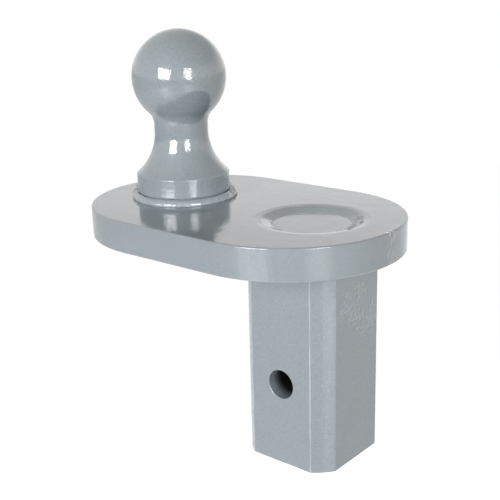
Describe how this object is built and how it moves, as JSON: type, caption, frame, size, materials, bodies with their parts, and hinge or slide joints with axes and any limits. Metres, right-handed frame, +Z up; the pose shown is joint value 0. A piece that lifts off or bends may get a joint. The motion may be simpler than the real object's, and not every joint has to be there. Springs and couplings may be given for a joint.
{
  "type": "gooseneck ball extender",
  "caption": "Painted steel gooseneck ball extender: a towing ball and a square shank welded side by side into one thick round-ended plate, to move a trailer's coupler rearwards.",
  "frame": {"origin": "on the shank's axis at the plate's underside, which comes down on the mouth of the socket", "axes": "+Z up along the shank and the ball's stem, -X towards the ball and the rear of the truck, Y across along the pin hole"},
  "size_m": [0.2083, 0.1396, 0.2494],
  "materials": {
    "grey_gloss_paint": "gloss"
  },
  "bodies": {
    "root": {"offset_plate": "grey_gloss_paint", "hitch_ball": "grey_gloss_paint", "square_shank": "grey_gloss_paint", "ball_collar_weld": "grey_gloss_paint", "shank_spigot_weld": "grey_gloss_paint", "ball_spigot_weld": "grey_gloss_paint"}
  },
  "joints": []
}
